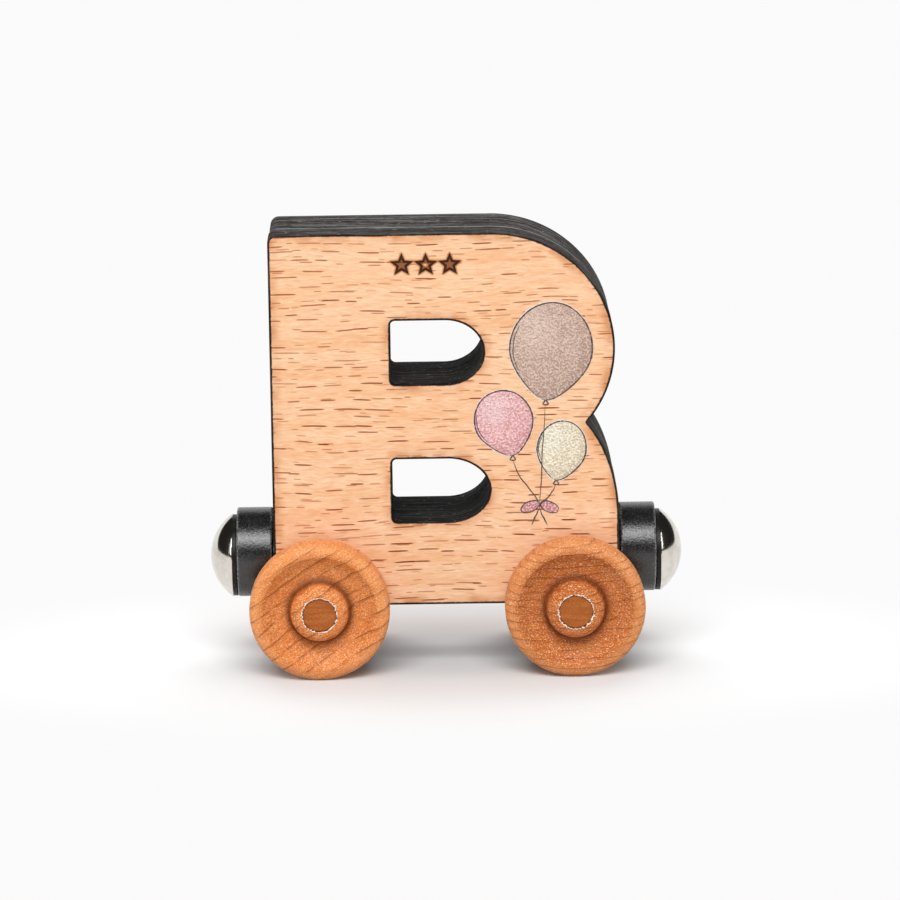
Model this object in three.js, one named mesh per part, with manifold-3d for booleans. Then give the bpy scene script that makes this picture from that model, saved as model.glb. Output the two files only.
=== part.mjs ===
// Letter train car: a thick wooden letter B that rolls on two wheelsets, with a magnet coupler at each end.
// Millimetres, +Z up, +X along the car. The letter reads from the -Y side and the wheels stand on z = 0.
import * as THREE from "three";
import { mergeVertices } from "three/addons/utils/BufferGeometryUtils.js";
import Module from "manifold-3d";

const wasm = await Module();
wasm.setup();

// Letter: three glued plies of one outline, given from its bottom left corner
const plyThickness = 6.35;
const letterWidth = 62.6;
const stemWidth = 21.7;
const bottomBar = 15.6;
const lowerCounterHeight = 11.6;
const middleBar = 13.9;
const upperCounterHeight = 11.6;
const topBar = 15.9;
const lowerCounterLength = 17.5;
const upperCounterLength = 16.6;
const lowerCounterRound = 7.6;
const upperCounterRound = 6.9;
const counterCorner = 0.8;
const lowerSideHeight = 16.2;
const lowerBowlLength = 16.1;
const lowerBowlRise = 22.85;
const upperBowlSetback = 0.65;
const upperBowlLength = 22.2;
const upperBowlRise = 21.4;
const outerCorner = 1.0;

// Rounded lugs under the letter that carry the axles
const axleSetback = 8.2;
const axleRise = 0.5;
const lugWall = 2.5;
const lugFillet = 1.2;

// Axle dowels and turned wheels
const axleDiameter = 6.35;
const axleClearance = 0.4;
const axleChamfer = 0.4;
const axleRecess = 0.35;
const wheelGap = 0.8;
const wheelDiameter = 25.4;
const wheelGlue = 0.1;
const rimWidth = 6.4;
const treadRound = 1.7;
const dishDepth = 2.2;
const dishFlat = 0.5;
const grooveRadius = 6.2;
const hubRadius = 5.5;
const hubHeight = 7.5;
const hubRound = 1.2;

// Couplers: a loose ring magnet on a nail, under a stamped cap whose rim is rolled over a backing disc
const couplerRise = 7.9;
const magnetDiameter = 16.0;
const magnetLength = 6.2;
const magnetBore = 4.2;
const magnetChamfer = 0.45;
const magnetPlay = 0.35;
const capDiameter = 14.9;
const capHeight = 5.1;
const capWall = 0.5;
const capLip = 3.0;
const capFit = 0.1;
const discThickness = 0.8;
const nailDiameter = 3.0;
const nailFit = 0.1;
const nailGrip = 11.0;
const nailPoint = 4.0;
const nailHeadDiameter = 6.0;

// Facets
const roundSides = 32;
const cornerSteps = 4;
const bowlSteps = 20;
const counterSteps = 14;
const lugSteps = 12;
const filletSteps = 3;
const domeSteps = 8;
const cutOvershoot = 1;

// Derived places
const letterHeight = bottomBar + lowerCounterHeight + middleBar + upperCounterHeight + topBar;
const plyNames = ["front_ply", "core_ply", "back_ply"];
const letterDepth = plyThickness * plyNames.length;
const axleRadius = axleDiameter / 2;
const axleBoreRadius = axleRadius + axleClearance;
const lugRadius = axleBoreRadius + lugWall;
const wheelRadius = wheelDiameter / 2;
const letterBottom = wheelRadius - axleRise;
const couplerHeight = letterBottom + couplerRise;
const axleX = letterWidth / 2 - axleSetback;
const hubFaceY = letterDepth / 2 + wheelGap + hubHeight;
const nailRadius = nailDiameter / 2;
const capBackX = letterWidth / 2 + magnetPlay + magnetLength + magnetPlay;

// Materials
const beech = new THREE.MeshStandardMaterial({ color: 0xf0bd8f, roughness: 0.55 });
const oiledMaple = new THREE.MeshStandardMaterial({ color: 0xcd8250, roughness: 0.5 });
const dowelWood = new THREE.MeshStandardMaterial({ color: 0x965a28, roughness: 0.6 });
const ferrite = new THREE.MeshStandardMaterial({ color: 0x2d2d2f, roughness: 0.45 });
const nickel = new THREE.MeshStandardMaterial({ color: 0xd0cdc6, roughness: 0.12, metalness: 1 });
const steel = new THREE.MeshStandardMaterial({ color: 0x8c8c8e, roughness: 0.35, metalness: 1 });

const car = new THREE.Group();

// Points along part of an ellipse, both ends included, with angles in degrees
function ellipseArc(x, y, rx, ry, from, to, steps) {
  const points = [];
  for (let i = 0; i <= steps; i++) {
    const angle = THREE.MathUtils.degToRad(from + ((to - from) * i) / steps);
    points.push(new THREE.Vector2(x + rx * Math.cos(angle), y + ry * Math.sin(angle)));
  }
  return points;
}

function circleArc(x, y, radius, from, to, steps) {
  return ellipseArc(x, y, radius, radius, from, to, steps);
}

function addMesh(name, geometry, material, parent = car) {
  const mesh = new THREE.Mesh(geometry, material);
  mesh.name = name;
  parent.add(mesh);
  return mesh;
}

// Boolean cuts
function toSolid(geometry) {
  const bare = geometry.clone();
  bare.deleteAttribute("normal");
  bare.deleteAttribute("uv");
  const merged = mergeVertices(bare, 1e-4);
  return new wasm.Manifold(
    new wasm.Mesh({
      numProp: 3,
      vertProperties: merged.attributes.position.array,
      triVerts: new Uint32Array(merged.index.array),
    }),
  );
}

function toGeometry(solid) {
  const mesh = solid.getMesh();
  const geometry = new THREE.BufferGeometry();
  geometry.setAttribute("position", new THREE.BufferAttribute(mesh.vertProperties, mesh.numProp));
  geometry.setIndex(new THREE.BufferAttribute(mesh.triVerts, 1));
  geometry.computeVertexNormals();
  return geometry;
}

// Letter outline
const lowerBowl = {
  x: letterWidth - lowerBowlLength,
  y: lowerSideHeight,
  rx: lowerBowlLength,
  ry: lowerBowlRise,
};
const upperBowl = {
  x: letterWidth - upperBowlSetback - upperBowlLength,
  y: letterHeight - upperBowlRise,
  rx: upperBowlLength,
  ry: upperBowlRise,
};

// How far right a bowl reaches at a height, and the angle of that point on its ellipse
function bowlEdge(bowl, height) {
  const rise = (height - bowl.y) / bowl.ry;
  return bowl.x + bowl.rx * Math.sqrt(Math.max(0, 1 - rise * rise));
}

function bowlAngle(bowl, height) {
  return THREE.MathUtils.radToDeg(Math.asin((height - bowl.y) / bowl.ry));
}

// Height of the waist notch, where the two bowls cross
function waistHeight() {
  let low = Math.max(lowerBowl.y, upperBowl.y - upperBowl.ry);
  let high = Math.min(upperBowl.y, lowerBowl.y + lowerBowl.ry);
  for (let i = 0; i < 50; i++) {
    const middle = (low + high) / 2;
    if (bowlEdge(upperBowl, middle) < bowlEdge(lowerBowl, middle)) low = middle;
    else high = middle;
  }
  return (low + high) / 2;
}

// Where there is little room between a lug and the letter's end, the corner and the fillet get smaller
const lugHalfChord = Math.sqrt(lugRadius ** 2 - axleRise ** 2);
const bottomCorner = Math.min(outerCorner, (axleSetback - lugHalfChord) / 2);
const lugRoom = axleSetback - bottomCorner;
const filletRoom = (lugRoom ** 2 - lugHalfChord ** 2) / (2 * (lugRadius - axleRise));
const filletRadius = Math.min(lugFillet, filletRoom);

// A lug below the bottom edge, blended into it by a fillet on each side
function lugPoints(x) {
  const rise = axleRise + filletRadius;
  const reach = Math.sqrt((lugRadius + filletRadius) ** 2 - rise ** 2);
  const tilt = THREE.MathUtils.radToDeg(Math.atan2(rise, reach));
  return [
    ...circleArc(x - reach, -filletRadius, filletRadius, 90, tilt, filletSteps),
    ...circleArc(x, axleRise, lugRadius, 180 + tilt, 360 - tilt, lugSteps).slice(1, -1),
    ...circleArc(x + reach, -filletRadius, filletRadius, 180 - tilt, 90, filletSteps),
  ];
}

function counterPoints(bottom, height, length, round) {
  const top = bottom + height;
  const inset = stemWidth + counterCorner;
  return [
    ...circleArc(inset, bottom + counterCorner, counterCorner, 180, 270, cornerSteps),
    ...ellipseArc(stemWidth + length - round, (bottom + top) / 2, round, height / 2, -90, 90, counterSteps),
    ...circleArc(inset, top - counterCorner, counterCorner, 90, 180, cornerSteps),
  ];
}

function letterShape() {
  const waist = waistHeight();
  const { x: lx, y: ly, rx: lrx, ry: lry } = lowerBowl;
  const { x: ux, y: uy, rx: urx, ry: ury } = upperBowl;
  const leftAxle = axleSetback;
  const rightAxle = letterWidth - axleSetback;
  const shape = new THREE.Shape([
    ...circleArc(bottomCorner, bottomCorner, bottomCorner, 180, 270, cornerSteps),
    ...lugPoints(leftAxle),
    ...lugPoints(rightAxle),
    ...circleArc(letterWidth - bottomCorner, bottomCorner, bottomCorner, 270, 360, cornerSteps),
    ...ellipseArc(lx, ly, lrx, lry, 0, bowlAngle(lowerBowl, waist), bowlSteps / 2),
    ...ellipseArc(ux, uy, urx, ury, bowlAngle(upperBowl, waist), 90, bowlSteps).slice(1),
    ...circleArc(outerCorner, letterHeight - outerCorner, outerCorner, 90, 180, cornerSteps),
  ]);
  const lowerCounter = counterPoints(bottomBar, lowerCounterHeight, lowerCounterLength, lowerCounterRound);
  const upperBase = bottomBar + lowerCounterHeight + middleBar;
  const upperCounter = counterPoints(upperBase, upperCounterHeight, upperCounterLength, upperCounterRound);
  const bores = [leftAxle, rightAxle].map((x) =>
    circleArc(x, axleRise, axleBoreRadius, 0, 360, roundSides).slice(0, -1),
  );
  shape.holes = [lowerCounter, upperCounter, ...bores].map((points) => new THREE.Path(points));
  return shape;
}

// Plies stand on edge, and the middle one has a pilot hole for a nail in each end
function pilotHole(side) {
  const depth = nailGrip + nailFit;
  const drill = new THREE.CylinderGeometry(
    nailRadius + nailFit,
    nailRadius + nailFit,
    depth + cutOvershoot,
    roundSides,
  );
  drill.rotateZ(Math.PI / 2);
  drill.translate(side * (letterWidth / 2 - depth / 2 + cutOvershoot / 2), 0, couplerHeight);
  return toSolid(drill);
}

plyNames.forEach((name, i) => {
  let ply = new THREE.ExtrudeGeometry(letterShape(), { depth: plyThickness, bevelEnabled: false });
  ply.rotateX(Math.PI / 2);
  ply.translate(-letterWidth / 2, plyThickness * (i + 1) - letterDepth / 2, letterBottom);
  if (name === "core_ply") {
    ply = toGeometry(toSolid(ply).subtract(pilotHole(-1)).subtract(pilotHole(1)));
  }
  addMesh(name, ply, beech);
});

// Axle dowel, a little short of the hub faces at both ends
function axleGeometry() {
  const half = hubFaceY - axleRecess;
  const end = axleRadius - axleChamfer;
  const profile = [
    new THREE.Vector2(0, -half),
    new THREE.Vector2(end, -half),
    new THREE.Vector2(axleRadius, axleChamfer - half),
    new THREE.Vector2(axleRadius, half - axleChamfer),
    new THREE.Vector2(end, half),
    new THREE.Vector2(0, half),
  ];
  return new THREE.LatheGeometry(profile, roundSides);
}

// Turned wheel from its flat back at height 0: round tread, hollowed face, groove and raised hub
function wheelGeometry() {
  const bore = axleRadius + wheelGlue;
  const flatRadius = wheelRadius - treadRound;
  const grooveHeight = rimWidth - dishDepth;
  const dish = new THREE.QuadraticBezierCurve(
    new THREE.Vector2(flatRadius - dishFlat, rimWidth),
    new THREE.Vector2((flatRadius + grooveRadius) / 2, grooveHeight),
    new THREE.Vector2(grooveRadius, grooveHeight),
  );
  const profile = [
    new THREE.Vector2(bore, 0),
    ...circleArc(flatRadius, treadRound, treadRound, -90, 0, cornerSteps),
    ...circleArc(flatRadius, rimWidth - treadRound, treadRound, 0, 90, cornerSteps),
    ...dish.getPoints(cornerSteps),
    new THREE.Vector2(hubRadius, grooveHeight + (grooveRadius - hubRadius)),
    ...circleArc(hubRadius - hubRound, hubHeight - hubRound, hubRound, 0, 90, cornerSteps),
    new THREE.Vector2(bore, hubHeight),
    new THREE.Vector2(bore, 0),
  ];
  return new THREE.LatheGeometry(profile, roundSides);
}

for (const [end, side] of [["left", -1], ["right", 1]]) {
  const wheelset = new THREE.Group();
  wheelset.position.set(side * axleX, 0, wheelRadius);
  car.add(wheelset);
  addMesh(`${end}_axle`, axleGeometry(), dowelWood, wheelset);
  const back = addMesh(`${end}_back_wheel`, wheelGeometry(), oiledMaple, wheelset);
  back.position.y = letterDepth / 2 + wheelGap;
  const front = addMesh(`${end}_front_wheel`, wheelGeometry(), oiledMaple, wheelset);
  front.position.y = -back.position.y;
  front.rotation.x = Math.PI;
}

// Coupler profiles run along the coupler's axis, with height 0 at the back of the cap's rim
const domeRise = capHeight - capWall;
const capRadius = capDiameter / 2;
const domeRadius = (capRadius ** 2 + domeRise ** 2) / (2 * domeRise);
const domeCentre = capHeight - domeRadius;

// A stretch of a sphere about the dome's centre, from a radius at its edge up to the axis
function domeArc(radius, edge) {
  const from = THREE.MathUtils.radToDeg(Math.acos(edge / radius));
  return circleArc(0, domeCentre, radius, from, 90, domeSteps);
}

// Radius of the inside of the cap at a height above its rim
function insideRadius(height) {
  return Math.sqrt((domeRadius - capWall) ** 2 - (height - domeCentre) ** 2);
}

function capGeometry() {
  const lipRadius = capRadius - capLip;
  const profile = [
    ...domeArc(domeRadius - capWall, insideRadius(capWall)).reverse(),
    new THREE.Vector2(lipRadius, capWall),
    new THREE.Vector2(lipRadius, 0),
    ...circleArc(capRadius - capWall, capWall, capWall, -90, 0, cornerSteps),
    ...domeArc(domeRadius, capRadius).slice(1),
  ];
  return new THREE.LatheGeometry(profile, roundSides);
}

const discBottom = capWall + capFit;
const discTop = discBottom + discThickness;
const headBottom = discTop + capFit;

function discGeometry() {
  const bore = nailRadius + nailFit;
  const edge = insideRadius(discTop) - capFit;
  const profile = [
    new THREE.Vector2(bore, discBottom),
    new THREE.Vector2(edge, discBottom),
    new THREE.Vector2(edge, discTop),
    new THREE.Vector2(bore, discTop),
    new THREE.Vector2(bore, discBottom),
  ];
  return new THREE.LatheGeometry(profile, roundSides);
}

// The nail's head fills the crown of the cap and its point is in the wood
function nailGeometry() {
  const tip = letterWidth / 2 - nailGrip - capBackX;
  const profile = [
    new THREE.Vector2(0, tip),
    new THREE.Vector2(nailRadius, tip + nailPoint),
    new THREE.Vector2(nailRadius, headBottom),
    new THREE.Vector2(nailHeadDiameter / 2, headBottom),
    ...domeArc(domeRadius - capWall - capFit, nailHeadDiameter / 2),
  ];
  return new THREE.LatheGeometry(profile, roundSides);
}

function magnetGeometry() {
  const top = -magnetPlay;
  const bottom = top - magnetLength;
  const radius = magnetDiameter / 2;
  const bore = magnetBore / 2;
  const profile = [
    new THREE.Vector2(bore, bottom),
    new THREE.Vector2(radius - magnetChamfer, bottom),
    new THREE.Vector2(radius, bottom + magnetChamfer),
    new THREE.Vector2(radius, top - magnetChamfer),
    new THREE.Vector2(radius - magnetChamfer, top),
    new THREE.Vector2(bore, top),
    new THREE.Vector2(bore, bottom),
  ];
  return new THREE.LatheGeometry(profile, roundSides);
}

for (const [end, side] of [["left", -1], ["right", 1]]) {
  const coupler = new THREE.Group();
  coupler.position.set(side * capBackX, 0, couplerHeight);
  coupler.rotation.z = (-side * Math.PI) / 2;
  car.add(coupler);
  addMesh(`${end}_magnet`, magnetGeometry(), ferrite, coupler);
  addMesh(`${end}_cap`, capGeometry(), nickel, coupler);
  addMesh(`${end}_cap_disc`, discGeometry(), steel, coupler);
  addMesh(`${end}_nail`, nailGeometry(), steel, coupler);
}

export default car;
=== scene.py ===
import math

import bmesh
import bpy
import numpy as np
from mathutils import Matrix, Quaternion, Vector
from mathutils.geometry import delaunay_2d_cdt


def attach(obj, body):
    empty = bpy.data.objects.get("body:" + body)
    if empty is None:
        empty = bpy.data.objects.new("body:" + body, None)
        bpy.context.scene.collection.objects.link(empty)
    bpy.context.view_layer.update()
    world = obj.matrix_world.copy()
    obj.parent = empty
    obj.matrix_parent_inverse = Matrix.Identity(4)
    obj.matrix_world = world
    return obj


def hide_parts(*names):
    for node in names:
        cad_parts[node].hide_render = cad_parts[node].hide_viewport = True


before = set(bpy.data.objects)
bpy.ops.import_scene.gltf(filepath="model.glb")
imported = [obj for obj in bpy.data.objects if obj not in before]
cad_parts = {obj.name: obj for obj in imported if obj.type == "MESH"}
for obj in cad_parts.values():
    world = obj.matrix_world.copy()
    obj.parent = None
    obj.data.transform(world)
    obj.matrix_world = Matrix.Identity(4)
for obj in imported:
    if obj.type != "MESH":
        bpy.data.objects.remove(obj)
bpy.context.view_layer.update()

# Letter train car. Sizes are in millimetres, as in the solids, and become metres when a mesh is made.
MM = 0.001
ENDS = (("left", -1), ("right", 1))
SIDES = (("front", -1), ("back", 1))

# Letter, measured from its bottom left corner
PLY = 6.35
LETTER_WIDTH = 62.6
LETTER_HEIGHT = 68.6
LETTER_BOTTOM = 12.2
STEM_WIDTH = 21.7
OUTER_CORNER = 1.0
FRONT_CORNER = 1.5
BACK_CORNER = 1.7
COUNTER_CORNER = 0.8
CORE_STEP = 0.12
BACK_STEP = 0.1
ARRIS = 0.16

# Bowls are given by centre and radii, counters by bottom, height, length and depth of their round end
LOWER_BOWL = (46.5, 16.2, 16.1, 22.85)
UPPER_BOWL = (39.75, 47.2, 22.2, 21.4)
LOWER_COUNTER = (15.6, 11.6, 17.5, 7.6)
UPPER_COUNTER = (41.1, 11.6, 16.6, 6.9)

# Lugs that carry the axles
AXLE_SETBACK = 8.2
AXLE_RISE = 0.5
LUG_RADIUS = 6.075
LUG_FILLET = 1.2
LETTER_BORE = 3.575

# Fineness of the letter's mesh: each ring of face points has its inset and keeps one point in so many
OUTLINE_STEP = 0.5
ARC_STEP = 0.3
ARRIS_ROWS = 4
WALL_ROWS = 7
FACE_RINGS = ((0.34, 1), (0.55, 1), (0.9, 2), (1.5, 3), (2.4, 4))
FACE_GRID = 1.7
MARK_RINGS = (0.16, 0.4, 0.9)
MARK_CLEARANCE = 0.12
FAR = 50.0
SUNK = -1.0

# Engraved row of stars
STAR_CENTRES = ((23.9, 62.9), (28.2, 62.9), (32.5, 62.9))
STAR_TIP = 2.15
STAR_WAIST = 1.0
STAR_STROKE = 0.45
ENGRAVE_DEPTH = 0.22

# Axles
AXLE_X = 23.1
AXLE_Z = 12.7
AXLE_RADIUS = 3.175
AXLE_HALF = 17.475
AXLE_EDGE = 0.3
AXLE_END_MARGIN = 0.1
AXLE_END_ROWS = 12
AXLE_SIDE_ROWS = 20
AXLE_COLUMNS = 96

# Wheels
WHEEL_BACK = 10.325
WHEEL_RADIUS = 12.7
WHEEL_BORE = 3.275
RIM_WIDTH = 6.4
RIM_FLAT = 0.5
TREAD_ROUND = 1.7
DISH_DEPTH = 2.2
DISH_ROWS = 24
GROOVE_RADIUS = 5.85
HUB_RADIUS = 5.2
HUB_HEIGHT = 7.5
HUB_ROUND = 1.9
# Oil round the hub together with painted shade of the hollow: how far its centre is set in from the
# groove, and its reach
OIL_AND_SHADE_INSET = 0.5
OIL_AND_SHADE_REACH = 0.95
# Painted highlight on the rim: the radius where it starts, and how far it takes to reach full strength
RIM_HIGHLIGHT_START = 10.2
RIM_HIGHLIGHT_FADE = 1.4
WHEEL_COLUMNS = 144
WHEEL_STEP = 0.2
WHEEL_SOFTENING = 0.22

# Glue round the dowels' ends, uneven by a number of waves with a reach
GLUE_RADIUS = 3.2
GLUE_THICKNESS = 0.11
GLUE_THINNEST = 0.02
GLUE_SINK = 0.07
GLUE_FLATNESS = 0.8
GLUE_WANDER = (34, 0.13)
GLUE_LUMPS = (60, 0.16)
GLUE_LIFT = (30, 0.06)
GLUE_COLUMNS = 240
GLUE_ROWS = 10

# Couplers
COUPLER_Z = 20.1
CAP_BACK = 38.2
CAP_RADIUS = 7.6
CAP_HEIGHT = 4.9
CAP_WALL = 0.5
CAP_INSIDE = 7.83
CAP_CROWN = 4.6
CAP_SIDE = 6.4
CAP_DROP = 0.6
CAP_BAND = 0.75
CAP_BAND_RADIUS = 7.45
CAP_BAND_GAP = 0.02
CAP_EDGE = 0.12
CAP_EDGE_STEP = 0.04
CAP_LIP = 4.45
CAP_DOME_STEP = 0.1
CAP_COLUMNS = 160
MAGNET_RADIUS = 8.15
MAGNET_BORE = 2.1
MAGNET_LENGTH = 6.2
MAGNET_PLAY = 0.35
MAGNET_REST = 0.06
MAGNET_EDGE = 0.3
MAGNET_EDGE_STEP = 0.08
MAGNET_STEP = 0.12
MAGNET_SOFTENING = 0.1
MAGNET_COLUMNS = 128
# Reach of the magnets' pale edges: wear together with a painted highlight
WEAR_AND_HIGHLIGHT_REACH = 0.22

# Print on the front face: balloons and bow loops by centre, half sizes and lean in degrees
FRONT_Y = -1.5 * PLY
INK_LIFT = 0.05
INK_ROOT = 0.03
BALLOONS = (
    ("taupe", (50.4, 47.2), (7.3, 8.5), -6),
    ("pink", (41.9, 33.9), (5.2, 5.8), 14),
    ("cream", (52.2, 28.7), (4.4, 5.2), -10),
)
NECK_DRAW = 0.26
NECK_STRETCH = 0.1
TIE = (48.2, 17.6)
BOW = (((46.5, 18.1), (1.75, 0.95), 24), ((49.95, 18.0), (1.75, 0.95), -22))
BOW_TAILS = ((-1.5, -2.9), (1.3, -3.1))
FILM_COLUMNS = 180
UNDERBASE_SPREAD = 0.42
UNDERBASE_RAGGED = (50, 0.2)
UNDERBASE_SEED = 70

# Pen, as half width and shake. A round has start and stop in degrees, share of the balloon and half width.
PEN_LIFT = 0.08
STRING_LIFT = 0.075
ROUND_SHAKE = 0.07
KNOT_PEN = 0.14
KNOT_FOOT_PEN = 0.13
STRING_PEN = (0.12, 0.12)
BOW_PEN = (0.13, 0.05)
TAIL_PEN = (0.14, 0.1)
PEN_SEED = 40
PEN_RAGGED = (40, 0.45)
PEN_WAVES = (1, 2, 3, 5, 8)
PEN_ROUNDS = ((60, 262, 1.0, 0.16), (-100, 96, 1.012, 0.16), (150, 215, 0.93, 0.11))
KNOT_HALF = 0.55
KNOT_FOOT_HALF = 0.6
KNOT_DROP = 0.85
STRING_DROP = 0.8
LEFT_SAG = 0.7
RIGHT_SAG = -0.6
ROUND_POINTS = 130
KNOT_POINTS = 20
STRING_POINTS = 70
BOW_POINTS = 90

# Shades of the inks, from lit to shaded, and of the oiled wheels
INKS = {
    "taupe": ((0.70, 0.52, 0.43), (0.56, 0.39, 0.31), (0.34, 0.21, 0.17)),
    "pink": ((0.88, 0.60, 0.60), (0.80, 0.42, 0.43), (0.52, 0.21, 0.22)),
    "cream": ((0.88, 0.82, 0.68), (0.80, 0.70, 0.52), (0.52, 0.40, 0.26)),
}
WHEEL_SHADES = ((0.90, 0.335, 0.10), (0.80, 0.25, 0.055), (0.57, 0.13, 0.017))

# Each wheel is cut from another piece of wood
# Pale is how strongly each wheel's rim takes the painted highlight
WHEEL_GRAIN = {
    "left_front_wheel": {
        "lean": 27.0, "curve": 0.003, "shift": (0.0, 0.0, 0.6), "ring": 2.6,
        "tone": (1.02, 1.02, 1.06), "strength": 0.95, "pale": 0.3,
    },
    "right_front_wheel": {
        "lean": 2.0, "curve": -0.012, "shift": (-23.1, 0.0, 0.3), "ring": 1.5,
        "tone": (0.77, 0.68, 0.62), "strength": 1.0, "pale": 0.35,
    },
    "left_back_wheel": {
        "lean": -40.0, "curve": 0.006, "shift": (3.0, 0.0, 1.4), "ring": 2.2,
        "tone": (0.94, 0.94, 0.94), "strength": 0.8, "pale": 0.28,
    },
    "right_back_wheel": {
        "lean": 64.0, "curve": 0.003, "shift": (5.0, 0.0, 0.9), "ring": 2.4,
        "tone": (1.0, 1.0, 1.0), "strength": 0.8, "pale": 0.28,
    },
}

# Studio, with the camera's angles in radians
CAMERA_PLACE = (-5.41, -800.0, 234.14)
CAMERA_PITCH = 0.2396
CAMERA_YAW = 0.0079
CAMERA_ROLL = -0.0125
CAMERA_LENS = 180.68
CAMERA_SENSOR = 36.0
LIGHT_TARGET = (0.0, 0.0, 40.0)
FLOOR_HALF = 3000.0
FLOOR_LINES = 13
FLOOR_FADE = (25.0, 120.0)
FLOOR_SEEN = (0.81, 0.81, 0.813)
FLOOR_UNSEEN = (0.62, 0.62, 0.62)
FAR_FLOOR = (0.962, 0.962, 0.962, 1.0)
AMBIENT = (0.27, 0.27, 0.27)
WHITE = (1.0, 1.0, 1.0)
DARK_ROOM = (0.02, 0.019, 0.018)

# Upper edges of the white sheet and bench: rise with depth, and fall to each side
SHEET_RISE = 0.36
SHEET_SWELL = 0.5
SHEET_FALL = 0.24
BENCH_RISE = 0.23
BENCH_FALL = 0.17


# Meshes

def put_piece(name, points, faces, finishes, body, slot, stands_for=None, normals=None, sharp=None,
              weld=False, finish_of=None, **layers):
    """One piece from points in millimetres and faces given by point numbers. Where it has several
    finishes, finish_of numbers each face's. Each extra layer is a number for each point, kept under its
    own name."""
    mesh = bpy.data.meshes.new(name)
    mesh.from_pydata((np.asarray(points) * MM).tolist(), [], faces)
    for layer_name, values in layers.items():
        kept = mesh.attributes.new(layer_name, "FLOAT", "POINT")
        kept.data.foreach_set("value", np.asarray(values, np.float32))
    if weld:
        shell = bmesh.new()
        shell.from_mesh(mesh)
        bmesh.ops.remove_doubles(shell, verts=shell.verts, dist=1e-6)
        shell.to_mesh(mesh)
        shell.free()
    mesh.shade_smooth()
    if sharp is not None:
        mesh.set_sharp_from_angle(angle=math.radians(sharp))
    if normals is not None:
        mesh.normals_split_custom_set_from_vertices(np.asarray(normals).tolist())
    for material in finishes:
        mesh.materials.append(material)
    if finish_of is not None:
        mesh.polygons.foreach_set("material_index", np.asarray(finish_of, np.int32))
    piece = bpy.data.objects.new(name, mesh)
    bpy.context.scene.collection.objects.link(piece)
    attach(piece, body)
    if stands_for:
        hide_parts(stands_for)


def grid_faces(rows, columns, close_rows=False, close_columns=True):
    """Quads of a grid of points, each from a point to the next column, the next row and back. The last
    row or column meets the first where the grid closes."""
    i = np.arange(rows if close_rows else rows - 1)[:, None]
    j = np.arange(columns if close_columns else columns - 1)
    k = (j + 1) % columns
    low = i * columns
    high = (i + 1) % rows * columns
    return np.stack([low + j, low + k, high + k, high + j], -1).reshape(-1, 4)


def arc(x, y, rx, ry, start, stop, step=ARC_STEP):
    """Points on an ellipse: centre plus radii times cosine and sine of an angle that runs evenly from
    start to stop degrees, in as many parts as keep them near step."""
    sweep = math.radians(stop - start)
    parts = max(5, math.ceil(abs(sweep) * max(rx, ry) / step))
    angle = math.radians(start) + sweep * np.linspace(0, 1, parts + 1)
    return np.column_stack([x + rx * np.cos(angle), y + ry * np.sin(angle)])


def refine(loop, step):
    """A closed loop without doubled points, with each edge cut into equal parts no longer than step."""
    gap = np.linalg.norm(np.roll(loop, -1, 0) - loop, axis=1)
    loop = loop[gap > 1e-6]
    edge = np.roll(loop, -1, 0) - loop
    parts = np.maximum(1, np.ceil(np.linalg.norm(edge, axis=1) / step)).astype(int)
    which = np.repeat(np.arange(len(loop)), parts)
    first = np.repeat(np.cumsum(parts) - parts, parts)
    share = (np.arange(parts.sum()) - first) / parts[which]
    return loop[which] + share[:, None] * edge[which]


def right_of(run):
    """Unit vectors to the right of a run of steps: each step turned by a right angle."""
    across = np.column_stack([run[:, 1], -run[:, 0]])
    return across / np.linalg.norm(across, axis=1, keepdims=True)


def outward(loop):
    """Unit normals to the right of travel, from the chord between the points before and after."""
    return right_of(np.roll(loop, -1, 0) - np.roll(loop, 1, 0))


def distance_to(loop, points):
    """Least distance from each point to a closed loop: the point dropped onto each edge, held between
    the edge's ends."""
    edge = np.roll(loop, -1, 0) - loop
    gap = points[:, None, :] - loop[None]
    along = np.clip((gap * edge).sum(2) / (edge ** 2).sum(1), 0, 1)
    return np.linalg.norm(gap - along[..., None] * edge, axis=2).min(1)


def nearest(loops, points):
    """Least distance from each point to any of several loops."""
    return np.min([distance_to(loop, points) for loop in loops], axis=0)


def inside(loop, points):
    """Even-odd test: a point is inside where an odd number of edges crosses its level to its right."""
    after = np.roll(loop, -1, 0)
    level = points[:, 1:2]
    crosses = (loop[:, 1] > level) != (after[:, 1] > level)
    rise = np.where(after[:, 1] == loop[:, 1], 1.0, after[:, 1] - loop[:, 1])
    at = loop[:, 0] + (level - loop[:, 1]) / rise * (after[:, 0] - loop[:, 0])
    return (crosses & (points[:, 0:1] < at)).sum(1) % 2 == 1


def to_letter(points):
    """From the letter's own corner to the row frame."""
    return points + (-LETTER_WIDTH / 2, 0, LETTER_BOTTOM)


# Letter

def waist_angles():
    """Angles, on the two bowls' ellipses, of the notch where they cross: the height is halved in on
    until both bowls reach equally far right."""
    def reach(bowl, height):
        rise = (height - bowl[1]) / bowl[3]
        return bowl[0] + bowl[2] * math.sqrt(max(0.0, 1 - rise * rise))

    low = UPPER_BOWL[1] - UPPER_BOWL[3]
    high = LOWER_BOWL[1] + LOWER_BOWL[3]
    for _ in range(50):
        middle = (low + high) / 2
        if reach(UPPER_BOWL, middle) < reach(LOWER_BOWL, middle):
            low = middle
        else:
            high = middle
    return [math.degrees(math.asin((low - b[1]) / b[3])) for b in (LOWER_BOWL, UPPER_BOWL)]


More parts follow.
